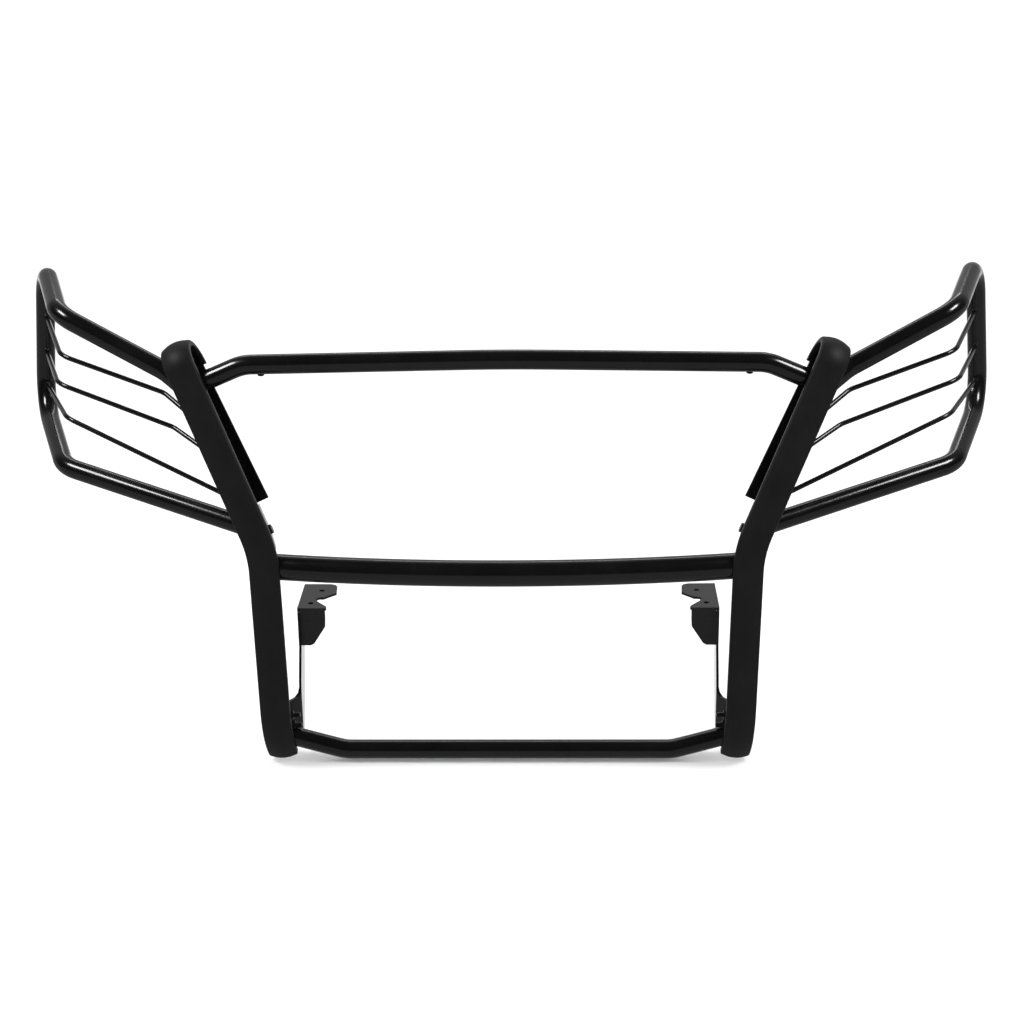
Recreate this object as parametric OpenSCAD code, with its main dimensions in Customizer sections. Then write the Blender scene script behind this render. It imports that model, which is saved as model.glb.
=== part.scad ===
// Front grille guard with headlight wings and bolt-on frame brackets.
// X runs across the vehicle, Y runs rearward, Z runs up, in millimetres.
// The origin lies midway between the two front frame-bolt holes, on the top face of the bracket flanges.

/* [Tubing] */
// outside diameter of the middle bar
middle_tube_d = 50.8; // [45:0.1:60]
// outside diameter of the top bar, the bottom bar and the wing loops
frame_tube_d = 38.1; // [32:0.1:45]
// wall thickness of every tube
tube_wall = 2; // [1.5:0.1:3]
// diameter of the solid headlight rods
rod_d = 9.5; // [8:0.5:12]

/* [Uprights] */
// half the distance between the uprights at the height of the origin
upright_x = 456.6; // [440:0.2:470]
// sideways lean of the lower part, per millimetre of height
lower_splay = 0.018; // [0:0.002:0.05]
// sideways lean of the upper part, per millimetre of height
upper_splay = 0.438; // [0.3:0.01:0.5]
// rearward lean of the upper part, per millimetre of height
upper_rake = 0.247; // [0.15:0.001:0.35]
// distance of the upright strap ahead of the front frame bolts
upright_setback = 134.5; // [120:0.5:160]
// height of the knee where the upright turns outward
knee_z = 160; // [140:1:180]
// bend radius of the knee
knee_r = 180; // [150:5:260]
// height of the turn-back at the lower end
tail_z = -233; // [-250:1:-210]
// bend radius of the turn-back at the lower end
tail_r = 165; // [140:5:200]
// length of the turned-back tail below that corner
tail_length = 65; // [60:1:80]
// length of the upper part from the knee to the hook
upper_length = 377; // [340:1:390]
// bend radius of the hook over the top, to the middle of the strap
hook_r = 40; // [34:1:50]
// distance between the two legs of the hook
hook_depth = 84; // [82:1:104]
// length of the strap that runs back down behind the upright
return_length = 289; // [240:1:300]
// sideways lean of that return leg toward the centre, over its length
return_lean = 12; // [0:1:16]
// width of the steel strap
strap_w = 46; // [40:1:50]
// thickness of the steel strap
strap_t = 5; // [4:0.5:6]
// depth of the web plate behind the strap
web_depth = 42; // [36:1:50]
// thickness of the web plates
web_t = 6; // [5:0.5:8]

/* [Rubber strip] */
// overall width of the rubber strip
pad_w = 58; // [50:0.5:60]
// height of the rubber crown ahead of the strap
pad_crown = 11; // [8:0.5:14]
// thickness of the lips that grip the back of the strap
pad_lip = 2.5; // [2:0.5:3]

/* [Cross bars] */
// height of the middle bar
middle_z = 121; // [100:0.5:135]
// distance of the middle bar ends ahead of the front frame bolts
middle_setback = 103; // [98:0.5:112]
// forward bow of the middle bar at its centre
middle_bow = 40; // [20:1:45]
// height of the top bar at its bends
top_z = 499.8; // [480:0.2:515]
// rise of the top bar from its bends to its centre
top_rise = 4; // [0:0.5:12]
// half the distance between the bends of the top bar
top_bend_x = 494; // [460:1:500]
// distance of the top bar ahead of the front frame bolts
top_setback = 30; // [24:0.5:36]
// fall of each top bar end, per millimetre outward
top_fall = 0.43; // [0.35:0.001:0.55]
// height of the bottom bar
bottom_z = -275.6; // [-285:1:-260]
// half the distance between the bends of the bottom bar
bottom_bend_x = 324; // [310:1:340]
// distance of the bottom bar ahead of the front frame bolts
bottom_setback = 92; // [86:0.5:98]
// climb of each bottom bar end, per millimetre outward
bottom_climb = 0.29; // [0.2:0.01:0.4]
// bend radius of the top and bottom bar ends
bar_bend_r = 90; // [60:5:120]

/* [Headlight wings] */
// outermost reach of the wing loop
wing_x = 957; // [930:1:970]
// half the distance between the front corners of the wings
wing_corner_x = 856; // [840:1:870]
// distance of the front corners behind the front frame bolts
wing_corner_y = 55; // [40:1:70]
// distance of the rear leg behind the front frame bolts
wing_rear_y = 275; // [250:1:290]
// height of the upper front corner
wing_top_z = 578; // [560:1:590]
// height of the lower front corner
wing_low_z = 271; // [255:1:280]
// rise of the wing sides toward the rear
wing_side_rise = 42; // [30:1:70]
// bend radius of the wing loop
wing_bend_r = 62; // [50:1:80]

/* [Frame brackets] */
// thickness of the bracket plate
bracket_t = 5; // [4:0.5:8]
// inner face of the bracket arm
bracket_x = 411; // [405:0.5:416]
// inner face of the bracket foot
bracket_foot_x = 431; // [428:0.5:432]
// half the distance between the front frame-bolt holes
front_hole_x = 392; // [388:0.5:396]
// half the distance between the rear frame-bolt holes
rear_hole_x = 377; // [373:0.5:381]
// distance from the front to the rear frame-bolt holes
rear_hole_y = 65; // [60:0.5:70]
// diameter of the frame-bolt holes
frame_hole_d = 11; // [9:0.5:13]

/* [Fasteners] */
// bolt diameter at the bracket feet and the knees
big_bolt_d = 10; // [8:1:12]
// width across the flats of the large hexagons
big_flats = 17; // [13:1:19]
// bolt diameter at the wing plates and the lamp points
small_bolt_d = 8; // [6:1:10]
// width across the flats of the small hexagons
small_flats = 13; // [10:1:16]
// clearance between a bolt and its hole
hole_clearance = 0.4; // [0.2:0.1:1]

/* [Hidden] */
facets = 64;
$fn = facets;

frame_r = frame_tube_d / 2;
middle_r = middle_tube_d / 2;
strap_half = strap_t / 2;
web_half = web_t / 2;
rearward = [0, 1, 0];

// directions of the lower part, the upper part and the tail of an upright
lower_dir = unit([lower_splay, 0, 1]);
upper_dir = unit([upper_splay, upper_rake, 1]);
tail_dir = unit([0.06, -0.663, 0.747]);
lower_side = cross(rearward, lower_dir);
upper_rear = carry(rearward, lower_dir, upper_dir);
upper_side = cross(upper_rear, upper_dir);
tail_side = carry(lower_side, lower_dir, tail_dir);

// corners of the upright path, from the tail to the end of the return leg
knee = [upright_x + lower_splay * knee_z, -upright_setback, knee_z];
tail_corner = [upright_x + lower_splay * tail_z, -upright_setback, tail_z];
tail_end = tail_corner - tail_length * tail_dir;
hook_front = knee + (upper_length + hook_r) * upper_dir;
hook_back = hook_front + hook_depth * upper_rear;
return_dir = unit(-(hook_r + return_length) * upper_dir - return_lean * upper_side);
return_end = hook_back + (hook_r + return_length) * return_dir;
web_top = 45;

// lap of a straight over the bend beside it, and how much larger it is all round
lap = 0.25;
sleeve = 0.02;
tube_sleeve = 0.3;
// gap left between parts that are welded or glued face to face
seam = 0.04;

steel = [0.10, 0.10, 0.11];
rubber = [0.16, 0.16, 0.16];
hardware = [0.22, 0.22, 0.23];

function unit(v) = v / norm(v);

// direction v after the shortest rotation that takes one unit vector to another
function carry(v, from, to) =
    let (axis = cross(from, to), c = from * to)
    c * v + cross(axis, v) + axis * (axis * v) / (1 + c);

function turn(points, i) = acos(unit(points[i] - points[i - 1]) * unit(points[i + 1] - points[i]));

function setback(points, radii, i) = radii[i] == 0 ? 0 : radii[i] * tan(turn(points, i) / 2);

// children drawn in a frame given by three directions and a place
module placed(x_dir, y_dir, z_dir, at) {
    multmatrix([
        [x_dir[0], y_dir[0], z_dir[0], at[0]],
        [x_dir[1], y_dir[1], z_dir[1], at[1]],
        [x_dir[2], y_dir[2], z_dir[2], at[2]],
        [0, 0, 0, 1]
    ]) children();
}

// Carries a flat section along straight runs and round bends; side is the section's own X.
// The first child is the section of the straights and the second that of the bends.
// Each straight is a hair larger and laps over the end of the next bend, like a sleeve.
module follow(points, radii, side, i = 0) {
    along = unit(points[i + 1] - points[i]);
    from = points[i] + (setback(points, radii, i) - (i == 0 ? 0 : lap)) * along;
    to = points[i + 1] - setback(points, radii, i + 1) * along;
    last = i + 2 >= len(points);
    length = norm(to - from) + (last ? 0 : lap);
    placed(side, cross(along, side), along, from)
        linear_extrude(length)
            children(0);
    if (!last) {
        next = unit(points[i + 2] - points[i + 1]);
        toward = unit(next - (next * along) * along);
        bend = acos(next * along);
        heading = atan2(toward * cross(along, side), toward * side);
        placed(-toward, along, cross(along, toward), to + radii[i + 1] * toward)
            rotate_extrude(angle = bend, $fn = max(facets, ceil(8 * 360 / bend)))
                translate([radii[i + 1], 0])
                    mirror([1, 0])
                        rotate(-heading)
                            children(1);
        follow(points, radii, carry(side, along, next), i + 1) {
            children(0);
            children(1);
        }
    }
}

// any direction square to the first run of a path, for round sections
function across(points) =
    let (along = unit(points[1] - points[0]), pick = abs(along[2]) > 0.9 ? [1, 0, 0] : [0, 0, 1])
    unit(cross(along, pick));

module tube_section(r, extra) {
    difference() {
        circle(r + extra, $fn = facets);
        circle(r - tube_wall - extra, $fn = facets);
    }
}

module tube(points, radii, r) {
    follow(points, radii, across(points)) {
        tube_section(r, tube_sleeve);
        tube_section(r, 0);
    }
}

module rod(points, radii, r) {
    follow(points, radii, across(points)) {
        circle(r + sleeve, $fn = facets);
        circle(r, $fn = facets);
    }
}

// the frame of the upper part of the right-hand upright: X outward, Y rearward, Z up the upright
module upper() {
    placed(upper_side, upper_rear, upper_dir, knee)
        children();
}

// the frame of the lower part of the right-hand upright
module lower() {
    placed(lower_side, rearward, lower_dir, knee)
        children();
}

module pair(side) {
    if (side < 0) {
        mirror([1, 0, 0]) children();
    } else {
        children();
    }
}

module both() {
    children();
    mirror([1, 0, 0]) children();
}

module hexagon(flats, length) {
    cylinder(r = flats / 2 / cos(30), h = length, $fn = 6);
}

// bolt lying along +X, with its head below the origin
module bolt(d, flats, length) {
    rotate([0, 90, 0]) {
        translate([0, 0, -0.65 * d])
            hexagon(flats, 0.65 * d);
        cylinder(d = d, h = length);
    }
}

module ring(outer_d, inner_d, length) {
    rotate([0, 90, 0]) {
        difference() {
            cylinder(d = outer_d, h = length);
            translate([0, 0, -1])
                cylinder(d = inner_d, h = length + 2);
        }
    }
}

module nut(d, flats) {
    rotate([0, 90, 0]) {
        difference() {
            hexagon(flats, 0.8 * d);
            translate([0, 0, -1])
                cylinder(d = d, h = 0.8 * d + 2);
        }
    }
}

// ---- uprights ----

module upright_strap(side) {
    color(steel)
        pair(side)
            follow([tail_end, tail_corner, knee, hook_front, hook_back, return_end],
                   [0, tail_r, knee_r, hook_r, hook_r, 0], tail_side)
                   {
                       square([strap_w + 2 * sleeve, strap_t + 2 * sleeve], center = true);
                       square([strap_w, strap_t], center = true);
                   }
}

// everything ahead of the back face of the strap, over its lower part
module ahead_of_strap() {
    follow([tail_end - 30 * tail_dir, tail_corner, knee], [0, tail_r, 0], tail_side) {
        translate([-40, -60])
            square([80, 60 + strap_half + seam]);
        translate([-40, -60])
            square([80, 60 + strap_half + seam]);
    }
}

module web_section(extra) {
    translate([-web_half - extra, strap_half + seam])
        square([web_t + 2 * extra, web_depth + extra]);
}

knee_bolt_z = 34;
knee_bolt_y = 28;

module upright_web(side) {
    color(steel) {
        pair(side) {
            difference() {
                follow(
                    [tail_end, tail_corner, knee, knee + web_top * upper_dir],
                    [0, tail_r, knee_r, 0], tail_side
                ) {
                    web_section(sleeve);
                    web_section(0);
                }
                upper()
                    translate([-20, knee_bolt_y, knee_bolt_z])
                        rotate([0, 90, 0])
                            cylinder(d = big_bolt_d + hole_clearance, h = 40);
            }
        }
    }
}

wing_bolt_y = 55;
// room left ahead of the leaning return leg
web_clearance = 0.3;
wing_bolt_z = [140, 228];

module hook_web(side) {
    color(steel) {
        pair(side) {
            upper() {
                difference() {
                    translate([-web_half, strap_half + seam, web_top + seam])
                        cube([web_t, hook_depth - strap_t - web_clearance, upper_length - web_top - seam]);
                    for (z = wing_bolt_z) {
                        translate([-10, wing_bolt_y, z])
                            rotate([0, 90, 0])
                                cylinder(d = small_bolt_d + hole_clearance, h = 20);
                    }
                }
            }
        }
    }
}

knee_plate_x = -21;
knee_plate_t = 5;
knee_plate_depth = 48;

module knee_plate_section(extra) {
    translate([knee_plate_x - extra, strap_half + seam])
        square([knee_plate_t + 2 * extra, knee_plate_depth + extra]);
}

module knee_plate(side) {
    color(steel) {
        pair(side) {
            difference() {
                intersection() {
                    follow([tail_corner, knee, knee + 86 * upper_dir], [0, knee_r, 0], lower_side) {
                        knee_plate_section(sleeve);
                        knee_plate_section(0);
                    }
                    translate([300, -300, 151])
                        cube([400, 400, 200]);
                }
                upper()
                    translate([-40, knee_bolt_y, knee_bolt_z])
                        rotate([0, 90, 0])
                            cylinder(d = big_bolt_d + hole_clearance, h = 40);
            }
        }
    }
}

// bolts through the bracket foot: rearward distance and height of each
foot_bolts = [[-112, -191], [-93, -222]];

module plate_along_x(x, t) {
    translate([x, 0, 0])
        rotate([90, 0, 90])
            linear_extrude(t)
                children();
}

module foot_holes() {
    for (p = foot_bolts) {
        translate([400, p[0], p[1]])
            rotate([0, 90, 0])
                cylinder(d = big_bolt_d + hole_clearance, h = 80);
    }
}

tab_x = bracket_foot_x + bracket_t;
tab_t = 5;

module bracket_tab(side) {
    color(steel) {
        pair(side) {
            difference() {
                plate_along_x(tab_x, tab_t)
                    polygon([
                        [-150, -168], [-80, -174], [-72, -182], [-72, -242], [-80, -252], [-150, -262]
                    ]);
                ahead_of_strap();
                foot_holes();
            }
        }
    }
}

// ---- rubber strip ----

function arc(cx, cy, r, a0, a1, n) = [
    for (i = [0 : n])
        let (a = a0 + (a1 - a0) * i / n)
        [cx + r * cos(a), cy + r * sin(a)]
];

pad_corner_r = 6;
pad_back = strap_half + pad_lip;
pad_half = pad_w / 2;
crown_half = pad_half - pad_corner_r;
crown_drop = 5;
crown_r = (crown_half * crown_half + crown_drop * crown_drop) / (2 * crown_drop);
crown_angle = asin(crown_half / crown_r);
pad_front = -(strap_half + pad_crown);
// place of the centres of the pad's two shoulder rounds
shoulder_y = pad_front + crown_drop + pad_corner_r;
lip_edge = strap_w / 2 - 3;

module pad_section() {
    difference() {
        polygon(concat(
            [[pad_half, pad_back - 1], [pad_half - 1, pad_back]],
            [[-pad_half + 1, pad_back], [-pad_half, pad_back - 1]],
            arc(-pad_half + pad_corner_r, shoulder_y, pad_corner_r, 180, 270 - crown_angle, 5),
            arc(0, pad_front + crown_r, crown_r, 270 - crown_angle + 2, 270 + crown_angle - 2, 10),
            arc(pad_half - pad_corner_r, shoulder_y, pad_corner_r, 270 + crown_angle, 360, 5)
        ));
        square([strap_w + 0.2, strap_t + 0.2], center = true);
        translate([-lip_edge, 0])
            square([2 * lip_edge, 20]);
    }
}

module rubber_strip(side) {
    color(rubber)
        pair(side)
            follow(
                [tail_end, tail_corner, knee, hook_front, hook_back, hook_back + (hook_r + 6) * return_dir],
                [0, tail_r, knee_r, hook_r, hook_r, 0], tail_side
            ) {
                scale(1.002) pad_section();
                pad_section();
            }
}

// ---- cross bars ----

// everything outboard of the inner face of the hook web
module beyond_hook_web() {
    upper()
        translate([-web_half, -300, -300])
            cube([300, 600, 1200]);
}

// everything outboard of the inner face of the lower web
module beyond_lower_web() {
    lower()
        translate([-web_half, -300, -800])
            cube([300, 600, 1200]);
}

top_reach_x = 620;
top_drop = (top_reach_x - top_bend_x) * top_fall;
top_points = [
    [-top_reach_x, -top_setback, top_z - top_drop], [-top_bend_x, -top_setback, top_z],
    [0, -top_setback, top_z + 2 * top_rise],
    [top_bend_x, -top_setback, top_z], [top_reach_x, -top_setback, top_z - top_drop]
];
top_arc_r = 5000;
lamp_x = 460;

module top_bar() {
    color(steel) {
        difference() {
            tube(top_points, [0, bar_bend_r, top_arc_r, bar_bend_r, 0], frame_r);
            both() {
                beyond_hook_web();
                translate([lamp_x, -top_setback, top_z - frame_r - 5])
                    cylinder(d = small_bolt_d + hole_clearance, h = 15);
            }
        }
    }
}

middle_reach_x = 470;
middle_points = [
    [-middle_reach_x, -middle_setback, middle_z],
    [0, -middle_setback - 2 * middle_bow, middle_z],
    [middle_reach_x, -middle_setback, middle_z]
];
middle_arc_r = 450 / tan(atan(2 * middle_bow / middle_reach_x));

module middle_bar() {
    color(steel) {
        difference() {
            tube(middle_points, [0, middle_arc_r, 0], middle_r);
            both()
                beyond_lower_web();
        }
    }
}

bottom_reach_x = 470;
bottom_rise = (bottom_reach_x - bottom_bend_x) * bottom_climb;
bottom_points = [
    [-bottom_reach_x, -bottom_setback, bottom_z + bottom_rise], [-bottom_bend_x, -bottom_setback, bottom_z],
    [bottom_bend_x, -bottom_setback, bottom_z], [bottom_reach_x, -bottom_setback, bottom_z + bottom_rise]
];

module bottom_bar() {
    color(steel) {
        difference() {
            tube(bottom_points, [0, bar_bend_r, bar_bend_r, 0], frame_r);
            both()
                beyond_lower_web();
        }
    }
}

// ---- headlight wings ----

wing_plate_t = 5;
wing_face_x = web_half + wing_plate_t;
end_plate_x = web_half + 6;
end_face_x = end_plate_x + wing_plate_t;

// a point on the upper frame of the upright, in the main frame
function on_upper(x, y, z) = knee + x * upper_side + y * upper_rear + z * upper_dir;

wing_points = [
    on_upper(-20, 28, 276), [650, 16, 474.5],
    [wing_corner_x, wing_corner_y, wing_top_z],
    [wing_x - 25, wing_rear_y, wing_top_z + wing_side_rise],
    [wing_x, wing_rear_y, wing_low_z + wing_side_rise + 17],
    [wing_corner_x + 16, wing_corner_y, wing_low_z],
    on_upper(end_face_x - 20, 31, 38)
];
wing_radii = [0, 80, wing_bend_r, wing_bend_r - 6, wing_bend_r + 28, wing_bend_r, 0];

module wing_loop(side) {
    color(steel) {
        pair(side) {
            difference() {
                tube(wing_points, wing_radii, frame_r);
                upper() {
                    translate([-100, -200, web_top + 40])
                        cube([100 + wing_face_x, 400, 400]);
                    translate([-100, -200, -200])
                        cube([100 + end_face_x, 400, 200 + web_top + 40]);
                }
            }
        }
    }
}

module wing_plate(side) {
    color(steel) {
        pair(side) {
            upper() {
                difference() {
                    translate([web_half, 14, 74])
                        cube([wing_plate_t, 62, 276]);
                    for (z = wing_bolt_z) {
                        translate([0, wing_bolt_y, z])
                            rotate([0, 90, 0])
                                cylinder(d = small_bolt_d + hole_clearance, h = 20);
                    }
                }
            }
        }
    }
}

module wing_end_plate(side) {
    color(steel) {
        pair(side) {
            upper() {
                difference() {
                    translate([end_plate_x, 6, 10])
                        cube([wing_plate_t, 54, 58]);
                    translate([0, knee_bolt_y, knee_bolt_z])
                        rotate([0, 90, 0])
                            cylinder(d = big_bolt_d + hole_clearance, h = 20);
                }
            }
        }
    }
}

// the wing leg between its two rear corners, for seating the rods
leg_top = wing_points[3];
leg_low = wing_points[4];

function leg_at(z) = leg_top + (leg_low - leg_top) * (leg_top[2] - z) / (leg_top[2] - leg_low[2]);

// last point of a rod, on the surface of the leg;
// extra is how far the leg's bend stands ahead of its straight
function on_leg(from, z, extra = 0) =
    let (centre = leg_at(z))
    centre + (frame_r + tube_sleeve + 0.1 + extra) * unit(from - centre);

module headlight_rod(side, points, radii) {
    color(steel) {
        pair(side) {
            difference() {
                rod(points, radii, rod_d / 2);
                upper()
                    translate([-100, -200, 0])
                        cube([100 + wing_face_x, 400, 600]);
            }
        }
    }
}

rod_corner_r = 40;
upper_rod_corner = [wing_corner_x + 3, wing_corner_y, 496.5];
centre_rod_corner = [wing_corner_x + 13, wing_corner_y, 440];
lower_rod_corner = [wing_corner_x + 1, wing_corner_y - 5, 372];

module upper_rod(side) {
    headlight_rod(side,
        [
            on_upper(wing_face_x - 8, 16, 246), [655, 15, 432], upper_rod_corner,
            on_leg(upper_rod_corner, 523)
        ],
        [0, rod_corner_r, rod_corner_r, 0]);
}

module centre_rod(side) {
    headlight_rod(side,
        [
            on_upper(wing_face_x - 8, 18, 182), [640, 5, 366], centre_rod_corner,
            on_leg(centre_rod_corner, 450)
        ],
        [0, rod_corner_r, rod_corner_r, 0]);
}

module lower_rod(side) {
    headlight_rod(side,
        [on_upper(wing_face_x - 10, 43, 90), lower_rod_corner, on_leg(lower_rod_corner, 379, 4)],
        [0, rod_corner_r, 0]);
}

// ---- frame brackets ----

bracket_front = -26;
bracket_rear = 101;
bracket_low = -262;
face_low = -80;
notch_r = 10;
// where the arm steps outward to the foot
offset_start = -58;
offset_end = -82;

// plan of the upright plate of the bracket: the foot, the offset and the arm
module bracket_plan() {
    polygon([
        [bracket_x, bracket_rear + 5], [bracket_x, offset_start], [bracket_foot_x, offset_end],
        [bracket_foot_x, -140], [bracket_foot_x + bracket_t, -140],
        [bracket_foot_x + bracket_t, offset_end + 2],
        [bracket_x + bracket_t, offset_start + 2], [bracket_x + bracket_t, bracket_rear + 5]
    ]);
}

// side view of the upright plate of the bracket
module bracket_side() {
    polygon([
        [bracket_front, 0], [bracket_front, -84], [-52, -142], [-59, -168], [-66, -174], [-117, -180],
        [-122, -187], [-120, -210], [-108, -240], [-100, -249], [-62, bracket_low], [-46, bracket_low + 3],
        [-38, -252], [-27, -224], [-3, -165], [20, -105], [44, -70], [bracket_rear - 6, -16],
        [bracket_rear, -8], [bracket_rear, 0]
    ]);
}

module flange_plan() {
    difference() {
        polygon([
            [bracket_x + bracket_t, bracket_front], [bracket_x + bracket_t, bracket_rear],
            [362, 100], [353, 96], [348, 88], [346, 54], [370, 29], [380, 10], [359, -17],
            [358, bracket_front]
        ]);
        translate([374, 19.5])
            circle(notch_r);
    }
}

module mount_bracket(side) {
    color(steel) {
        pair(side) {
            difference() {
                union() {
                    intersection() {
                        translate([0, 0, bracket_low - 5])
                            linear_extrude(5 - bracket_low)
                                bracket_plan();
                        plate_along_x(bracket_x - 5, 60)
                            bracket_side();
                    }
                    translate([0, 0, -bracket_t])
                        linear_extrude(bracket_t)
                            flange_plan();
                    translate([0, bracket_front + bracket_t, 0])
                        rotate([90, 0, 0])
                            linear_extrude(bracket_t)
                                polygon([
                                    [bracket_x, 0], [bracket_x, face_low], [392, face_low],
                                    [385, -76], [362, -40],
                                    [361, -22], [361, 0]
                                ]);
                }
                for (p = [[front_hole_x, 0], [rear_hole_x, rear_hole_y]]) {
                    translate([p[0], p[1], -20])
                        cylinder(d = frame_hole_d, h = 40);
                }
                foot_holes();
                translate([bracket_x + 1, bracket_front + 10, -bracket_t - 2])
                    rotate([90, 0, 0])
                        cylinder(d = 5, h = 20);
            }
        }
    }
}

// ---- fasteners ----

washer_t = 2;
big_head_x = tab_x + tab_t;

// thread left beyond each bracket nut
thread_showing = 13;
bracket_bolt_length = big_head_x - bracket_foot_x + washer_t + 0.8 * big_bolt_d + thread_showing;

module bracket_bolts() {
    color(hardware)
        both()
            for (p = foot_bolts)
                translate([big_head_x, p[0], p[1]])
                    mirror([1, 0, 0])
                        bolt(big_bolt_d, big_flats, bracket_bolt_length);
}

module bracket_washers() {
    color(hardware)
        both()
            for (p = foot_bolts)
                translate([bracket_foot_x - washer_t, p[0], p[1]])
                    ring(21, big_bolt_d, washer_t);
}

module bracket_nuts() {
    color(hardware)
        both()
            for (p = foot_bolts)
                translate([bracket_foot_x - washer_t - 0.8 * big_bolt_d, p[0], p[1]])
                    nut(big_bolt_d, big_flats);
}

module knee_bolts() {
    color(hardware)
        both()
            upper()
                translate([knee_plate_x - washer_t, knee_bolt_y, knee_bolt_z])
                    bolt(big_bolt_d, big_flats, end_face_x - knee_plate_x + washer_t - 1);
}

module knee_washers() {
    color(hardware)
        both()
            upper()
                translate([knee_plate_x - washer_t, knee_bolt_y, knee_bolt_z])
                    ring(20, big_bolt_d, washer_t);
}

module knee_spacers() {
    color(hardware) {
        both() {
            upper() {
                translate([knee_plate_x + knee_plate_t + 0.4, knee_bolt_y, knee_bolt_z])
                    ring(18, big_bolt_d, -knee_plate_x - knee_plate_t - web_half - 0.4);
                translate([web_half + 0.4, knee_bolt_y, knee_bolt_z])
                    ring(18, big_bolt_d, end_plate_x - web_half - 0.4);
            }
        }
    }
}

module wing_bolts() {
    color(hardware)
        both()
            upper()
                for (z = wing_bolt_z)
                    translate([-web_half, wing_bolt_y, z])
                        bolt(small_bolt_d, small_flats, web_t + wing_plate_t + 0.8 * small_bolt_d + 4);
}

module wing_nuts() {
    color(hardware)
        both()
            upper()
                for (z = wing_bolt_z)
                    translate([wing_face_x, wing_bolt_y, z])
                        nut(small_bolt_d, small_flats);
}

// height of the underside of the top bar at the lamp points
lamp_z = top_z + 2 * top_rise * (1 - lamp_x / top_bend_x) - frame_r - 0.4;

lamp_head_d = 13;
lamp_head_t = 3;
lamp_bolt_length = 22;

module lamp_bolts() {
    color(hardware) {
        both() {
            translate([lamp_x, -top_setback, lamp_z]) {
                translate([0, 0, -lamp_head_t])
                    cylinder(d = lamp_head_d, h = lamp_head_t);
                cylinder(d = small_bolt_d, h = lamp_bolt_length);
            }
        }
    }
}

upright_strap(-1);  // upright_strap_left
upright_strap(1);  // upright_strap_right
upright_web(-1);  // upright_web_left
upright_web(1);  // upright_web_right
hook_web(-1);  // hook_web_left
hook_web(1);  // hook_web_right
knee_plate(-1);  // knee_plate_left
knee_plate(1);  // knee_plate_right
bracket_tab(-1);  // bracket_tab_left
bracket_tab(1);  // bracket_tab_right
rubber_strip(-1);  // rubber_strip_left
rubber_strip(1);  // rubber_strip_right
top_bar();
middle_bar();
bottom_bar();
wing_loop(-1);  // wing_loop_left
wing_loop(1);  // wing_loop_right
wing_plate(-1);  // wing_plate_left
wing_plate(1);  // wing_plate_right
wing_end_plate(-1);  // wing_end_plate_left
wing_end_plate(1);  // wing_end_plate_right
upper_rod(-1);  // upper_rod_left
upper_rod(1);  // upper_rod_right
centre_rod(-1);  // centre_rod_left
centre_rod(1);  // centre_rod_right
lower_rod(-1);  // lower_rod_left
lower_rod(1);  // lower_rod_right
mount_bracket(-1);  // mount_bracket_left
mount_bracket(1);  // mount_bracket_right
bracket_bolts();
bracket_washers();
bracket_nuts();
knee_bolts();
knee_washers();
knee_spacers();
wing_bolts();
wing_nuts();
lamp_bolts();
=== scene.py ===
"""Front grille guard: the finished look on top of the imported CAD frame, in metres.

X runs across the vehicle, Y rearward and Z up. Lengths below are in millimetres, as in the design,
and become metres when a mesh is made. The left side is the mirror image of the right.
"""
import math

import bmesh
import bpy
from mathutils import Matrix, Vector


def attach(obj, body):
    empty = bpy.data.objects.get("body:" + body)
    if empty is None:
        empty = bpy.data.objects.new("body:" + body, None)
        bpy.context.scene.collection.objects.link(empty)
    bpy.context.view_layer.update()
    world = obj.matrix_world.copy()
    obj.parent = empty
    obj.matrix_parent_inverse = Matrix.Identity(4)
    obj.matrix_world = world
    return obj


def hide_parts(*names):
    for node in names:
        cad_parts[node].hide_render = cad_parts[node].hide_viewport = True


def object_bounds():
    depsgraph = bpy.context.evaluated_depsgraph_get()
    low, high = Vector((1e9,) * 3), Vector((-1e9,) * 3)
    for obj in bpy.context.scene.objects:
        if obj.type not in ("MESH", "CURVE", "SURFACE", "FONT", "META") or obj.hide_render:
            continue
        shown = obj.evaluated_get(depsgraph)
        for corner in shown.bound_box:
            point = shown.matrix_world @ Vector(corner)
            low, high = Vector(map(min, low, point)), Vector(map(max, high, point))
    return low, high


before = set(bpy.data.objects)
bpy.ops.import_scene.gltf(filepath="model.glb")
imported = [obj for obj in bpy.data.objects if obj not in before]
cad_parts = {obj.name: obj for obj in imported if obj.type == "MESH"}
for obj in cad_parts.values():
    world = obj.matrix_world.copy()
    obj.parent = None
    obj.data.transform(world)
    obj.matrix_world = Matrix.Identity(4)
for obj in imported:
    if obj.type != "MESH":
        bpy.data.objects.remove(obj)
cad_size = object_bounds()

MM = 0.001
SIDES = (("right", 1), ("left", -1))


def vec(x, y, z):
    return Vector((x, y, z))


def unit(v):
    return v.normalized()


def carry(v, start, end):
    """v after the shortest rotation that takes the unit vector start to end."""
    axis = start.cross(end)
    c = start.dot(end)
    return c * v + axis.cross(v) + axis * (axis.dot(v) / (1 + c))


# ---- design values ----

FRAME_R = 19.05
MIDDLE_R = 25.4
ROD_R = 4.75

UPRIGHT_X = 456.6
UPRIGHT_SETBACK = 134.5
KNEE_Z = 160
KNEE_R = 180
TAIL_Z = -233
TAIL_R = 165
TAIL_LENGTH = 65
UPPER_LENGTH = 377
HOOK_R = 40
HOOK_DEPTH = 84
RETURN_LENGTH = 289
RETURN_LEAN = 12
STRAP_W = 46
STRAP_T = 5
WEB_HALF = 3

PAD_W = 58
PAD_CROWN = 11
PAD_LIP = 2.5

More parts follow.
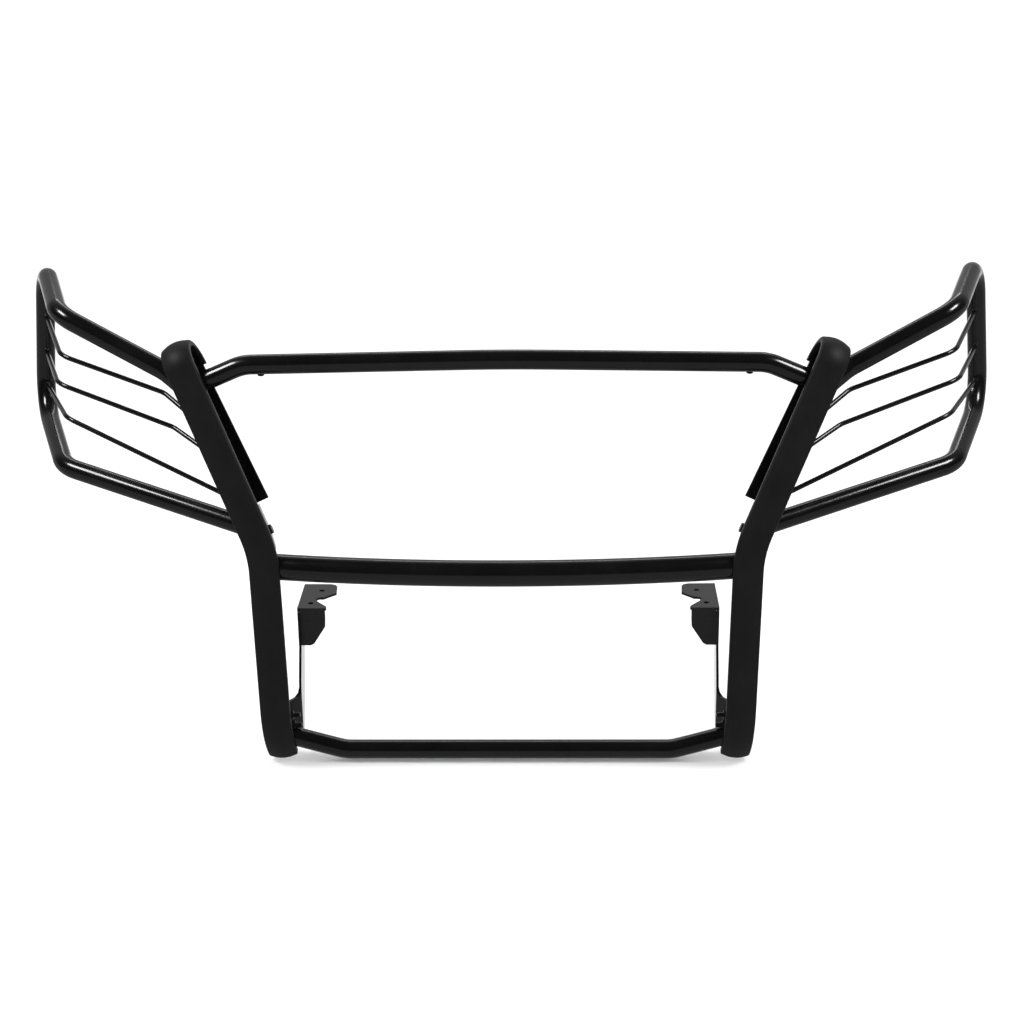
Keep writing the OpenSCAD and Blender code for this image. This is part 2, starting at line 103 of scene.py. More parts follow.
REARWARD = vec(0, 1, 0)
LOWER_DIR = unit(vec(0.018, 0, 1))
UPPER_DIR = unit(vec(0.438, 0.247, 1))
TAIL_DIR = unit(vec(0.06, -0.663, 0.747))
LOWER_SIDE = REARWARD.cross(LOWER_DIR)
UPPER_REAR = carry(REARWARD, LOWER_DIR, UPPER_DIR)
UPPER_SIDE = UPPER_REAR.cross(UPPER_DIR)
TAIL_SIDE = carry(LOWER_SIDE, LOWER_DIR, TAIL_DIR)

KNEE = vec(UPRIGHT_X + 0.018 * KNEE_Z, -UPRIGHT_SETBACK, KNEE_Z)
TAIL_CORNER = vec(UPRIGHT_X + 0.018 * TAIL_Z, -UPRIGHT_SETBACK, TAIL_Z)
TAIL_END = TAIL_CORNER - TAIL_LENGTH * TAIL_DIR
HOOK_FRONT = KNEE + (UPPER_LENGTH + HOOK_R) * UPPER_DIR
HOOK_BACK = HOOK_FRONT + HOOK_DEPTH * UPPER_REAR
RETURN_DIR = unit(-(HOOK_R + RETURN_LENGTH) * UPPER_DIR - RETURN_LEAN * UPPER_SIDE)
RETURN_END = HOOK_BACK + (HOOK_R + RETURN_LENGTH) * RETURN_DIR
PAD_END = HOOK_BACK + (HOOK_R + 6) * RETURN_DIR
STRAP_RADII = (0, TAIL_R, KNEE_R, HOOK_R, HOOK_R, 0)

WING_FACE_X = 8
END_FACE_X = 14

KNEE_BOLT = (28, 34)
WING_BOLTS = ((55, 140), (55, 228))
FOOT_BOLTS = ((-112, -191), (-93, -222))
LAMP_BOLT = (460, -30)

TOP_Z = 499.8
TOP_RISE = 4
TOP_BEND_X = 494


def on_upper(x, y, z):
    """A point in the frame of the upper part of the right-hand upright."""
    return KNEE + x * UPPER_SIDE + y * UPPER_REAR + z * UPPER_DIR


# ---- paths ----


def route(points, radii, side):
    """Frames (place, across, normal, along) down a path of straights and bends, without twist."""
    frames = []
    across = side
    reach = [0.0] * len(points)
    for i in range(1, len(points) - 1):
        bend = unit(points[i] - points[i - 1]).angle(unit(points[i + 1] - points[i]))
        reach[i] = radii[i] * math.tan(bend / 2)
    for i in range(len(points) - 1):
        along = unit(points[i + 1] - points[i])
        start = points[i] + reach[i] * along
        end = points[i + 1] - reach[i + 1] * along
        pieces = max(1, int((end - start).length / STRAIGHT_STEP))
        for k in range(pieces + 1):
            if k == 0 and i > 0:
                continue
            frames.append((start.lerp(end, k / pieces), across.copy(), along.cross(across), along.copy()))
        if i + 2 < len(points):
            following = unit(points[i + 2] - points[i + 1])
            bend = along.angle(following)
            radius = radii[i + 1]
            toward = unit(following - following.dot(along) * along)
            centre = end + radius * toward
            steps = max(6, math.ceil(math.degrees(bend) / BEND_STEP),
                        math.ceil(radius * bend / STRAIGHT_STEP))
            axis = along.cross(following).normalized()
            for k in range(1, steps + 1):
                angle = bend * k / steps
                turn = Matrix.Rotation(angle, 3, axis)
                place = centre + radius * (along * math.sin(angle) - toward * math.cos(angle))
                heading = turn @ along
                sideways = turn @ across
                frames.append((place, sideways, heading.cross(sideways), heading))
            across = Matrix.Rotation(bend, 3, axis) @ across
    return frames


STRAIGHT_STEP = 20.0
BEND_STEP = 2.5


def square_to(points):
    """A direction square to the first run of a path."""
    along = unit(points[1] - points[0])
    pick = vec(1, 0, 0) if abs(along.z) > 0.9 else vec(0, 0, 1)
    return unit(along.cross(pick))


# ---- sections ----


def circle(radius, count=48):
    return [(radius * math.cos(2 * math.pi * k / count), radius * math.sin(2 * math.pi * k / count))
            for k in range(count)]


def arc(cx, cy, radius, a0, a1, steps):
    """Points on an arc, the angles in degrees."""
    return [(cx + radius * math.cos(math.radians(a0 + (a1 - a0) * k / steps)),
             cy + radius * math.sin(math.radians(a0 + (a1 - a0) * k / steps))) for k in range(steps + 1)]


def rounded_bar(width, thickness, radius):
    w = width / 2 - radius
    t = thickness / 2 - radius
    return (arc(w, t, radius, 0, 90, 3) + arc(-w, t, radius, 90, 180, 3)
            + arc(-w, -t, radius, 180, 270, 3) + arc(w, -t, radius, 270, 360, 3))


def rubber_section():
    """A crowned face with rounded shoulders and two lips that grip the back of the strap."""
    half = PAD_W / 2
    back = STRAP_T / 2 + PAD_LIP
    front = -(STRAP_T / 2 + PAD_CROWN)
    shoulder_r = 6
    drop = 5
    crown_half = half - shoulder_r
    crown_r = (crown_half ** 2 + drop ** 2) / (2 * drop)
    crown = math.degrees(math.asin(crown_half / crown_r))
    lip = STRAP_W / 2 - 3
    slot_x = STRAP_W / 2 + 0.1
    slot_y = STRAP_T / 2 + 0.1
    lip_r = 1.1
    outline = arc(lip + lip_r, back - lip_r, lip_r, 180, 90, 4)
    outline += arc(half - lip_r, back - lip_r, lip_r, 90, 0, 4)
    outline += arc(half - shoulder_r, front + drop + shoulder_r, shoulder_r, 0, -90 + crown, 10)
    outline += arc(0, front + crown_r, crown_r, -90 + crown - 2, -90 - crown + 2, 18)
    outline += arc(-half + shoulder_r, front + drop + shoulder_r, shoulder_r, -90 - crown, -180, 10)
    outline += arc(-half + lip_r, back - lip_r, lip_r, 180, 90, 4)
    outline += arc(-lip - lip_r, back - lip_r, lip_r, 90, 0, 4)
    outline += [(-lip, slot_y), (-slot_x, slot_y), (-slot_x, -slot_y), (slot_x, -slot_y), (slot_x, slot_y),
                (lip, slot_y)]
    return outline[::-1]


# ---- mesh helpers ----


def sweep(bm, frames, section, cap_bevel=0.0):
    """Carries a closed section along the frames and closes both ends."""
    rings = []
    for place, across, normal, _ in frames:
        rings.append([bm.verts.new((place + a * across + b * normal) * MM) for a, b in section])
    count = len(section)
    for low, high in zip(rings, rings[1:]):
        for k in range(count):
            bm.faces.new((low[k], low[(k + 1) % count], high[(k + 1) % count], high[k]))
    caps = [bm.faces.new(rings[0][::-1]), bm.faces.new(rings[-1])]
    if cap_bevel:
        edges = list({e for face in caps for e in face.edges})
        bmesh.ops.bevel(bm, geom=edges, offset=cap_bevel * MM, segments=3, profile=0.5, affect="EDGES",
                        clamp_overlap=True)
    return rings


def cut(bm, place, outward):
    """Removes what lies beyond a plane and closes the cut."""
    geometry = list(bm.verts) + list(bm.edges) + list(bm.faces)
    bmesh.ops.bisect_plane(bm, geom=geometry, dist=1e-7, plane_co=place * MM, plane_no=outward,
                           clear_outer=True)
    open_edges = [e for e in bm.edges if e.is_boundary]
    if open_edges:
        bmesh.ops.holes_fill(bm, edges=open_edges, sides=0)


def lathe(bm, place, profile, count=36, closed=False):
    """Turns a profile of (radius, height) about the place's own Z; either may be a function of the angle."""
    rings = []
    for radius, height in profile:
        ring = []
        for k in range(count):
            angle = 2 * math.pi * k / count
            r = radius(angle) if callable(radius) else radius
            h = height(angle) if callable(height) else height
            ring.append(bm.verts.new((place @ vec(r * math.cos(angle), r * math.sin(angle), h)) * MM))
        rings.append(ring)
    pairs = list(zip(rings, rings[1:]))
    if closed:
        pairs.append((rings[-1], rings[0]))
    else:
        bm.faces.new(rings[0][::-1])
        bm.faces.new(rings[-1])
    for low, high in pairs:
        for k in range(count):
            bm.faces.new((low[k], low[(k + 1) % count], high[(k + 1) % count], high[k]))


def along_axis(place, direction):
    """A matrix whose Z runs along a direction, from a place."""
    z = unit(direction)
    x = unit(z.cross(vec(0, 0, 1) if abs(z.z) < 0.9 else vec(0, 1, 0)))
    y = z.cross(x)
    rows = [(x[k], y[k], z[k], place[k]) for k in range(3)]
    return Matrix((*rows, (0, 0, 0, 1)))


def hexagon(flats):
    """Radius of a hexagon as a function of the angle."""
    def radius(angle):
        return flats / 2 / math.cos((angle + math.pi / 6) % (math.pi / 3) - math.pi / 6)
    return radius


def chamfered(flats, height, sign=1):
    """Height of a hexagon's rim where its corners are turned off at 30 degrees."""
    shape = hexagon(flats)

    def level(angle):
        return height - sign * max(0.0, shape(angle) - 0.49 * flats) * math.tan(math.radians(30))
    return level


def bolt(bm, place, direction, d, flats, length, threaded):
    """A hexagon bolt: its shank runs from the place along the direction, its head stands the other way."""
    at = along_axis(place, direction)
    head = 0.65 * d
    shape = hexagon(flats)
    head_outline = [(0.46 * flats, -head), (0.48 * flats, -head + 0.15),
                    (shape, chamfered(flats, -head + 0.1, -1)), (shape, -0.5), (0.48 * flats, -0.4),
                    (0.48 * flats, 0)]
    lathe(bm, at, head_outline, 72)
    pitch = 1.5 if d > 9 else 1.25
    depth = 0.6 * pitch
    plain = length - threaded
    profile = [(d / 2, 0.0), (d / 2, plain)]
    steps = 8
    for k in range(int(threaded / pitch * steps)):
        z = plain + k * pitch / steps

        def radius(angle, z=z):
            phase = (z / pitch - angle / (2 * math.pi)) % 1
            lead = min(1.0, (length - z) / pitch)
            return d / 2 - depth * abs(2 * phase - 1) - (1 - lead) * 0.5
        profile.append((radius, z))
    profile.append((d / 2 - depth - 0.6, length))
    lathe(bm, at, profile, 32)


def button(bm, place, head_d, head_t, d, length):
    """A low domed head under the place, with its shank above."""
    at = along_axis(place, vec(0, 0, 1))
    r = head_d / 2
    lathe(bm, at, [(1.2, -head_t + 0.7), (1.9, -head_t + 0.6), (2.1, -head_t), (0.62 * r, -head_t),
                   (0.86 * r, -0.78 * head_t), (0.97 * r, -0.45 * head_t), (r, -0.15 * head_t), (r, 0),
                   (d / 2, 0), (d / 2, length)], 36)


def nut(bm, place, direction, d, flats):
    at = along_axis(place, direction)
    height = 0.8 * d
    shape = hexagon(flats)
    lathe(bm, at, [(d / 2 + 0.5, 0), (0.48 * flats, 0), (shape, chamfered(flats, 0.1, -1)),
                   (shape, chamfered(flats, height - 0.1)), (0.48 * flats, height), (d / 2 + 0.7, height),
                   (d / 2 + 0.05, height - 0.7), (d / 2 + 0.05, 0.5)], 72, closed=True)


def ring(bm, place, direction, outer_d, inner_d, length):
    at = along_axis(place, direction)
    edge = 0.3
    lathe(bm, at, [(inner_d / 2 + 0.1, 0), (outer_d / 2 - edge, 0), (outer_d / 2, edge),
                   (outer_d / 2, length - edge), (outer_d / 2 - edge, length), (inner_d / 2 + 0.1, length)],
          48, closed=True)


def bead_round(bm, place, axis, radius, plane_normal, size=2.4, pitch=3.0):
    """A rippled weld bead where a round bar meets a plane; axis points away from the plane."""
    axis = unit(axis)
    normal = unit(plane_normal)
    if normal.dot(axis) < 0:
        normal = -normal
    u = square_to([vec(0, 0, 0), axis])
    v = axis.cross(u)
    ripples = max(10, round(2 * math.pi * radius / pitch))
    count = ripples * 5
    loop = []
    for k in range(count):
        phi = 2 * math.pi * k / count
        out = math.cos(phi) * u + math.sin(phi) * v
        rim = place + radius * out
        rim = rim + axis * ((place - rim).dot(normal) / axis.dot(normal))
        outward = unit(out - out.dot(normal) * normal)
        wander = 0.25 * math.sin(3 * phi + 1.3)
        section = []
        for j in range(10):
            psi = 2 * math.pi * j / 10
            phase = ripples * k / count + 0.35 * math.cos(psi)
            grown = size * (0.82 + 0.2 * abs(math.sin(math.pi * phase)) + 0.05 * wander)
            toward = math.cos(psi) * outward + math.sin(psi) * normal
            section.append(bm.verts.new((rim + grown * toward) * MM))
        loop.append(section)
    for k in range(count):
        low, high = loop[k], loop[(k + 1) % count]
        for j in range(10):
            bm.faces.new((low[j], low[(j + 1) % 10], high[(j + 1) % 10], high[j]))


def publish(name, bm, material, side=1, nodes=(), sharp=35):
    """Makes the finished object, mirrored for the left side, and ties it to the CAD."""
    if side < 0:
        for v in bm.verts:
            v.co.x = -v.co.x
        bmesh.ops.reverse_faces(bm, faces=list(bm.faces))
    bmesh.ops.recalc_face_normals(bm, faces=list(bm.faces))
    mesh = bpy.data.meshes.new(name)
    bm.to_mesh(mesh)
    bm.free()
    mesh.polygons.foreach_set("use_smooth", [True] * len(mesh.polygons))
    mesh.set_sharp_from_angle(angle=math.radians(sharp))
    mesh.materials.append(material)
    piece = bpy.data.objects.new(name, mesh)
    bpy.context.scene.collection.objects.link(piece)
    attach(piece, "root")
    if nodes:
        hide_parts(*nodes)
    return piece


def dress(node, material, edge=0.7, bends=()):
    """The CAD plate again with its edges eased; bends are (test, radius) for the pressed corners."""
    bm = bmesh.new()
    bm.from_mesh(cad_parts[node].data)
    bmesh.ops.remove_doubles(bm, verts=list(bm.verts), dist=2e-5)
    bmesh.ops.dissolve_limit(bm, angle_limit=math.radians(1.0), verts=list(bm.verts), edges=list(bm.edges))
    for test, radius in bends:
        picked = [e for e in bm.edges if len(e.link_faces) == 2 and test(e)]
        if picked:
            bmesh.ops.bevel(bm, geom=picked, offset=radius * MM, segments=6, profile=0.5, affect="EDGES",
                            clamp_overlap=True)
    hard = [e for e in bm.edges if len(e.link_faces) == 2 and e.calc_face_angle(0) > math.radians(32)]
    bmesh.ops.bevel(bm, geom=hard, offset=edge * MM, segments=2, profile=0.5, affect="EDGES",
                    clamp_overlap=True)
    piece = publish(node + "_plate", bm, material, nodes=(node,), sharp=50)
    weighted = piece.modifiers.new("weighted", "WEIGHTED_NORMAL")
    weighted.keep_sharp = True
    return piece


# ---- materials ----


class Nodes:
    """A small helper to write a node material."""

    def __init__(self, name):
        self.material = bpy.data.materials.new(name)
        self.material.use_nodes = True
        self.tree = self.material.node_tree
        self.shader = self.tree.nodes["Principled BSDF"]
        self.place = self.tree.nodes.new("ShaderNodeTexCoord").outputs["Object"]

    def add(self, kind, **inputs):
        node = self.tree.nodes.new(kind)
        for key, value in inputs.items():
            socket = node.inputs[key.replace("_", " ")]
            if isinstance(value, bpy.types.NodeSocket):
                self.tree.links.new(value, socket)
            else:
                socket.default_value = value
        return node

    def noise(self, scale, detail=2.0, roughness=0.5):
        return self.add("ShaderNodeTexNoise", Vector=self.place, Scale=scale, Detail=detail,
                        Roughness=roughness).outputs["Fac"]

    def between(self, value, low, high, start=0.3, end=0.7):
        return self.add("ShaderNodeMapRange", Value=value, From_Min=start, From_Max=end, To_Min=low,
                        To_Max=high).outputs["Result"]

    def ramp(self, value, stops):
        node = self.add("ShaderNodeValToRGB", Fac=value)
        ramp = node.color_ramp
        for i, (position, grey) in enumerate(stops):
            element = ramp.elements[i] if i < 2 else ramp.elements.new(position)
            element.position = position
            element.color = (grey[0], grey[1], grey[2], 1.0)
        return node.outputs["Color"]

    def bump(self, height, strength, distance, before=None):
        node = self.add("ShaderNodeBump", Height=height, Strength=strength, Distance=distance)
        if before is not None:
            self.tree.links.new(before, node.inputs["Normal"])
        return node.outputs["Normal"]

    def set(self, **inputs):
        for key, value in inputs.items():
            socket = self.shader.inputs[key.replace("_", " ")]
            if isinstance(value, bpy.types.NodeSocket):
                self.tree.links.new(value, socket)
            else:
                socket.default_value = value
        return self.material


def powder_coat():
    """Gloss black powder coat: a slow orange peel, fine grain and faint cloudy gloss."""
    m = Nodes("powder_coat")
    cloud = m.noise(9.0, 4.0, 0.6)
    peel = m.noise(260.0, 2.0, 0.45)
    grain = m.noise(1400.0, 2.0, 0.6)
    specks = m.noise(520.0, 0.0)
    normal = m.bump(peel, 0.10, 0.0006)
    normal = m.bump(grain, 0.04, 0.0002, normal)
    rough = m.between(cloud, 0.15, 0.24)
    dusty = m.between(specks, 0.0, 0.04, 0.70, 0.78)
    rough = m.add("ShaderNodeMath", Value=rough)
    rough.operation = "ADD"
    m.tree.links.new(dusty, rough.inputs[1])
    colour = m.ramp(cloud, [(0.35, (0.0015, 0.0015, 0.0016)), (0.70, (0.0026, 0.0026, 0.0028))])
    return m.set(Base_Color=colour, Roughness=rough.outputs[0], Normal=normal, Coat_Weight=0.35,
                 Coat_Roughness=0.07)


def moulded_rubber():
    """Matte black rubber with a fine leathery grain and mould bloom in lighter patches."""
    m = Nodes("moulded_rubber")
    bloom = m.noise(14.0, 5.0, 0.62)
    grain = m.noise(1500.0, 3.0, 0.65)
    swirl = m.noise(90.0, 3.0, 0.5)
    normal = m.bump(swirl, 0.05, 0.0008)
    normal = m.bump(grain, 0.16, 0.0003, normal)
    colour = m.ramp(bloom, [(0.30, (0.0034, 0.0034, 0.0035)), (0.55, (0.0044, 0.0044, 0.0045)),
                            (0.80, (0.0062, 0.0061, 0.0060))])
    return m.set(Base_Color=colour, Roughness=m.between(bloom, 0.50, 0.62), Normal=normal,
                 Specular_IOR_Level=0.28, Sheen_Weight=0.015, Sheen_Roughness=0.5)


def black_zinc():
    """Black zinc plate on fasteners: dark metal with a mottled film, lighter in scattered patches."""
    m = Nodes("black_zinc")
    film = m.noise(160.0, 4.0, 0.6)
    grain = m.noise(2200.0, 2.0, 0.6)
    colour = m.ramp(film, [(0.30, (0.010, 0.010, 0.011)), (0.62, (0.018, 0.018, 0.019)),
                           (0.78, (0.040, 0.039, 0.037))])
    return m.set(Base_Color=colour, Roughness=m.between(film, 0.28, 0.45), Metallic=0.6,
                 Normal=m.bump(grain, 0.12, 0.0002))


COAT = powder_coat()
RUBBER = moulded_rubber()
ZINC = black_zinc()


# ---- camera, light and floor ----

CAMERA_AT = (0.1041, -3.5627, 1.4970)
CAMERA_YAW = math.radians(-1.512)
CAMERA_PITCH = math.radians(20.119)
CAMERA_ROLL = math.radians(-0.707)
CAMERA_LENS = 68.55


def make_camera():
    level = vec(math.sin(CAMERA_YAW), math.cos(CAMERA_YAW), 0)
    forward = math.cos(CAMERA_PITCH) * level - vec(0, 0, math.sin(CAMERA_PITCH))
    right = vec(math.cos(CAMERA_YAW), -math.sin(CAMERA_YAW), 0)
    up = right.cross(forward)
    rolled_right = math.cos(CAMERA_ROLL) * right + math.sin(CAMERA_ROLL) * up
    rolled_up = math.cos(CAMERA_ROLL) * up - math.sin(CAMERA_ROLL) * right
    data = bpy.data.cameras.new("camera")
    data.sensor_width = 36.0
    data.lens = CAMERA_LENS
    data.clip_end = 200.0
    camera = bpy.data.objects.new("camera", data)
    axes = Matrix((rolled_right, rolled_up, -forward)).transposed().to_4x4()
    camera.matrix_world = Matrix.Translation(CAMERA_AT) @ axes
    bpy.context.scene.collection.objects.link(camera)
    bpy.context.scene.camera = camera


def area_light(name, place, target, size, watts, diffuse=0.3):
    data = bpy.data.lights.new(name, "AREA")
    data.shape = "RECTANGLE"
    data.size, data.size_y = size
    data.energy = watts
    data.diffuse_factor = diffuse
    light = bpy.data.objects.new(name, data)
    light.location = place
    light.rotation_euler = (Vector(target) - Vector(place)).to_track_quat("-Z", "Y").to_euler()
    bpy.context.scene.collection.objects.link(light)
    return light


def ramp_of(tree, source, start, end, low, high):
    """A smooth step from low to high while the source runs from start to end."""
    step = tree.nodes.new("ShaderNodeMapRange")
    step.interpolation_type = "SMOOTHSTEP"
    step.inputs["From Min"].default_value = start
    step.inputs["From Max"].default_value = end
    step.inputs["To Min"].default_value = low
    step.inputs["To Max"].default_value = high
    tree.links.new(source, step.inputs["Value"])
    return step.outputs["Result"]


def choice(tree, factor, first, second):
    """A blend of two values, each a number or a socket."""
    mix = tree.nodes.new("ShaderNodeMix")
    mix.data_type = "FLOAT"
    tree.links.new(factor, mix.inputs["Factor"])
    for socket, value in ((mix.inputs["A"], first), (mix.inputs["B"], second)):
        if isinstance(value, (int, float)):
            socket.default_value = value
        else:
            tree.links.new(value, socket)
    return mix.outputs["Result"]


def make_studio():
    """A white cove for the camera; gloss mirrors a dim room with a pale floor, brightest at the rear."""
    world = bpy.data.worlds.new("studio")
    world.use_nodes = True
    tree = world.node_tree
    background = tree.nodes["Background"]
    path = tree.nodes.new("ShaderNodeLightPath")
    place = tree.nodes.new("ShaderNodeTexCoord")
    split = tree.nodes.new("ShaderNodeSeparateXYZ")
    tree.links.new(place.outputs["Generated"], split.inputs["Vector"])
    ground = ramp_of(tree, split.outputs["Y"], 0.75, 0.92, 0.27, 1.30)
    ceiling = ramp_of(tree, split.outputs["Y"], 0.0, 0.90, 0.035, 0.40)
    height = ramp_of(tree, split.outputs["Z"], -0.03, 0.03, 0.0, 1.0)
    mirrored = choice(tree, height, ground, ceiling)
    strength = choice(tree, path.outputs["Is Glossy Ray"], 1.1, mirrored)
    tree.links.new(strength, background.inputs["Strength"])
    background.inputs["Color"].default_value = (1, 1, 1, 1)
    bpy.context.scene.world = world

    area_light("rear_strip", (0.0, 2.3, 2.4), (0, -0.1, 0.1), (3.0, 0.22), 10, diffuse=0)
    for side, sign in SIDES:
        area_light("softbox_" + side, (sign * 2.05, -0.65, 2.34), (sign * 0.5, -0.03, 0.48), (0.9, 0.6), 34,
                   diffuse=0)


def make_floor():
    m = Nodes("pale_floor")
    patch = m.noise(0.7, 3.0)
    material = m.set(Base_Color=m.ramp(patch, [(0.3, (0.93, 0.93, 0.93)), (0.7, (0.96, 0.96, 0.96))]),
                     Roughness=0.9, Specular_IOR_Level=0.1)
    bm = bmesh.new()
    reach = 60.0
    level = cad_size[0].z - 0.004
    outline = ((-reach, -reach), (reach, -reach), (reach, reach), (-reach, reach))
    corners = [bm.verts.new((x, y, level)) for x, y in outline]
    bm.faces.new(corners)
    mesh = bpy.data.meshes.new("floor")
    bm.to_mesh(mesh)
    bm.free()
    mesh.materials.append(material)
    floor = bpy.data.objects.new("floor", mesh)
    bpy.context.scene.collection.objects.link(floor)
    floor.visible_glossy = False


# ---- pieces ----


def make_uprights():
    path = (TAIL_END, TAIL_CORNER, KNEE, HOOK_FRONT, HOOK_BACK, RETURN_END)
    steel_frames = route(path, STRAP_RADII, TAIL_SIDE)
    rubber_frames = route(path[:-1] + (PAD_END,), STRAP_RADII, TAIL_SIDE)
    for name, side in SIDES:
        bm = bmesh.new()
        sweep(bm, steel_frames, rounded_bar(STRAP_W, STRAP_T, 1.0), cap_bevel=0.6)
        publish("upright_bar_" + name, bm, COAT, side, ("upright_strap_" + name,))
        bm = bmesh.new()
        sweep(bm, rubber_frames, rubber_section(), cap_bevel=0.7)
        publish("rubber_facing_" + name, bm, RUBBER, side, ("rubber_strip_" + name,))
        for node in ("upright_web_", "hook_web_", "knee_plate_", "bracket_tab_"):
            dress(node + name, COAT)


def bar_frames(points, radii):
    return route(points, radii, square_to(points))


def make_bars():
    drop = (620 - TOP_BEND_X) * 0.43
    top = [vec(-620, -30, TOP_Z - drop), vec(-TOP_BEND_X, -30, TOP_Z), vec(0, -30, TOP_Z + 2 * TOP_RISE),
           vec(TOP_BEND_X, -30, TOP_Z), vec(620, -30, TOP_Z - drop)]
    middle = [vec(-470, -103, 121), vec(0, -183, 121), vec(470, -103, 121)]
    middle_r = 450 / math.tan(math.atan(80 / 470))
    rise = (470 - 324) * 0.29
    low = -275.6
    bottom = [vec(-470, -92, low + rise), vec(-324, -92, low), vec(324, -92, low), vec(470, -92, low + rise)]
    welds = bmesh.new()
    for name, points, radii, r, at, outward in (
            ("top_bar", top, (0, 90, 5000, 90, 0), FRAME_R, on_upper(-WEB_HALF, 0, 0), UPPER_SIDE),
            ("middle_bar", middle, (0, middle_r, 0), MIDDLE_R, KNEE - WEB_HALF * LOWER_SIDE, LOWER_SIDE),
            ("bottom_bar", bottom, (0, 90, 90, 0), FRAME_R, KNEE - WEB_HALF * LOWER_SIDE, LOWER_SIDE)):
        bm = bmesh.new()
        sweep(bm, bar_frames(points, radii), circle(r))
        for side in (1, -1):
            flip = vec(side, 1, 1)
            cut(bm, at * flip, outward * flip)
            inner = points[-2] * vec(side, 1, 1) if side > 0 else points[1]
            outer = points[-1] if side > 0 else points[0]
            axis = unit(inner - outer)
            normal = outward * flip
            hit = outer + axis * ((at * flip - outer).dot(normal) / axis.dot(normal))
            bead_round(welds, hit, axis, r, normal)
        publish(name + "_tube", bm, COAT, 1, (name,), sharp=45)
    publish("bar_welds", welds, COAT, sharp=180)


WING = [
    on_upper(-20, 28, 276), vec(650, 16, 474.5), vec(856, 55, 578), vec(932, 275, 620),
    vec(957, 275, 330), vec(872, 55, 271), on_upper(END_FACE_X - 20, 31, 38)]
WING_RADII = (0, 80, 62, 56, 90, 62, 0)


def on_leg(start, z, extra=0):
    """The place where a rod from start reaches the wing's rear leg at a height.

    extra is how far the leg's bend stands ahead of its straight there.
    """
    top, low = WING[3], WING[4]
    centre = top + (low - top) * ((top.z - z) / (top.z - low.z))
    return centre + (FRAME_R - 1 + extra) * unit(start - centre)


def make_wings():
    upper_corner = vec(859, 55, 496.5)
    centre_corner = vec(869, 55, 440)
    lower_corner = vec(857, 50, 372)
    rods = (
        ("upper_rod", [on_upper(0, 16, 246), vec(655, 15, 432), upper_corner, on_leg(upper_corner, 523)],
         (0, 40, 40, 0)),
        ("centre_rod", [on_upper(0, 18, 182), vec(640, 5, 366), centre_corner, on_leg(centre_corner, 450)],
         (0, 40, 40, 0)),
        ("lower_rod", [on_upper(-2, 43, 90), lower_corner, on_leg(lower_corner, 379, 3)], (0, 40, 0)))
    face = on_upper(WING_FACE_X, 0, 0)
    end_face = on_upper(END_FACE_X, 0, 0)
    for name, side in SIDES:
        bm = bmesh.new()
        sweep(bm, bar_frames(WING, WING_RADII), circle(FRAME_R))
        trim_loop(bm, face, end_face)
        publish("wing_tube_" + name, bm, COAT, side, ("wing_loop_" + name,), sharp=45)

        welds = bmesh.new()
        for first, second, plane in ((WING[0], WING[1], face), (WING[6], WING[5], end_face)):
            axis = unit(second - first)
            hit = first + axis * ((plane - first).dot(UPPER_SIDE) / axis.dot(UPPER_SIDE))
            bead_round(welds, hit, axis, FRAME_R, UPPER_SIDE)
        for rod_name, points, radii in rods:
            bm = bmesh.new()
            sweep(bm, bar_frames(points, radii), circle(ROD_R, 28))
            cut(bm, face, -UPPER_SIDE)
            publish(rod_name + "_bar_" + name, bm, COAT, side, (f"{rod_name}_{name}",),
                    sharp=45)
            axis = unit(points[1] - points[0])
            hit = points[0] + axis * ((face - points[0]).dot(UPPER_SIDE) / axis.dot(UPPER_SIDE))
            bead_round(welds, hit, axis, ROD_R, UPPER_SIDE, 1.5, 2.2)
            back = unit(points[-2] - points[-1])
            bead_round(welds, points[-1] + 1.2 * back, back, ROD_R, back, 1.7, 2.2)
        publish("wing_welds_" + name, welds, COAT, side, sharp=180)
        for node in ("wing_plate_", "wing_end_plate_"):
            dress(node + name, COAT)


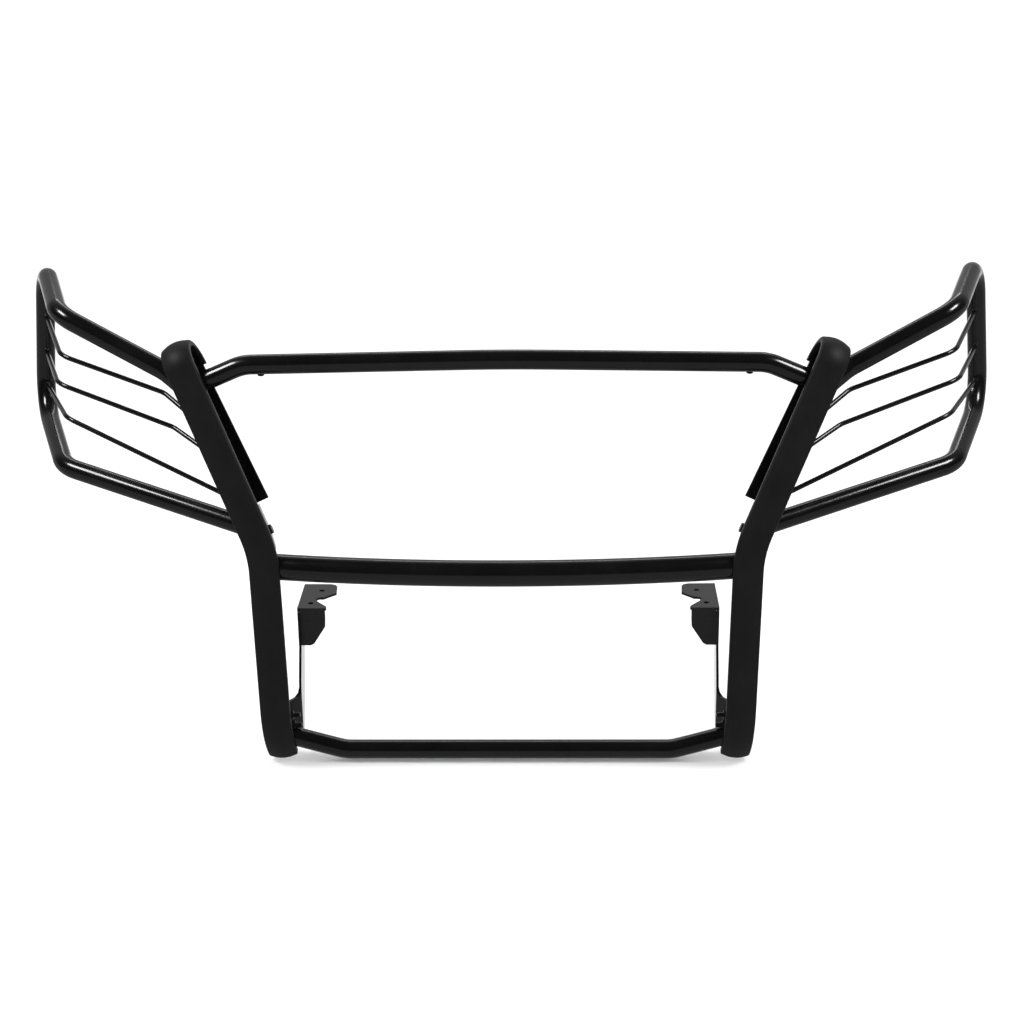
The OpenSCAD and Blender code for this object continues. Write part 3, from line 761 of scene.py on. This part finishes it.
def trim_loop(bm, face, end_face):
    """Cuts the two ends of the wing loop at their plates."""
    split = on_upper(0, 0, 85)
    for plane, above in ((face, True), (end_face, False)):
        near = [f for f in bm.faces
                if ((f.calc_center_median() / MM - split).dot(UPPER_DIR) > 0) == above
                and abs((f.calc_center_median() / MM - plane).dot(UPPER_SIDE)) < 90]
        geometry = list({v for f in near for v in f.verts}) + list({e for f in near for e in f.edges}) + near
        bmesh.ops.bisect_plane(bm, geom=geometry, dist=1e-7, plane_co=plane * MM, plane_no=-UPPER_SIDE,
                               clear_outer=True)
    open_edges = [e for e in bm.edges if e.is_boundary]
    if open_edges:
        bmesh.ops.holes_fill(bm, edges=open_edges, sides=0)


def make_brackets():
    for name, _ in SIDES:
        dress("mount_bracket_" + name, COAT, 0.8)


# diameter and width across flats of each size
M10 = (10, 17)
M8 = (8, 13)


def make_fasteners():
    right, left = vec(1, 1, 1), vec(-1, 1, 1)
    kits = {key: bmesh.new() for key in (
        "bracket_bolts", "bracket_washers", "bracket_nuts", "knee_bolts", "knee_washers", "knee_spacers",
        "wing_bolts", "wing_nuts", "lamp_bolts")}
    for flip in (right, left):
        inward = vec(-1, 0, 0) * flip
        for y, z in FOOT_BOLTS:
            bolt(kits["bracket_bolts"], vec(441, y, z) * flip, inward, *M10, 33, 22)
            ring(kits["bracket_washers"], vec(431, y, z) * flip, inward, 21, 10, 2)
            nut(kits["bracket_nuts"], vec(429, y, z) * flip, inward, *M10)
        outward = UPPER_SIDE * flip
        y, z = KNEE_BOLT
        bolt(kits["knee_bolts"], on_upper(-23, y, z) * flip, outward, *M10, 36, 12)
        ring(kits["knee_washers"], on_upper(-23, y, z) * flip, outward, 20, 10, 2)
        ring(kits["knee_spacers"], on_upper(-15.6, y, z) * flip, outward, 18, 10, 12.6)
        ring(kits["knee_spacers"], on_upper(3.4, y, z) * flip, outward, 18, 10, 5.6)
        for y, z in WING_BOLTS:
            bolt(kits["wing_bolts"], on_upper(-WEB_HALF, y, z) * flip, outward, *M8, 21.4, 10)
            nut(kits["wing_nuts"], on_upper(WING_FACE_X, y, z) * flip, outward, *M8)
        x, y = LAMP_BOLT
        underside = TOP_Z + 2 * TOP_RISE * (1 - x / TOP_BEND_X) - FRAME_R - 0.4
        button(kits["lamp_bolts"], vec(x, y, underside) * flip, 13, 3, 8, 22)
    for key, bm in kits.items():
        publish(key + "_detail", bm, ZINC, 1, (key,), sharp=32)


make_camera()
make_studio()
make_floor()
make_uprights()
make_bars()
make_wings()
make_brackets()
make_fasteners()

bpy.context.scene.view_settings.view_transform = "Standard"
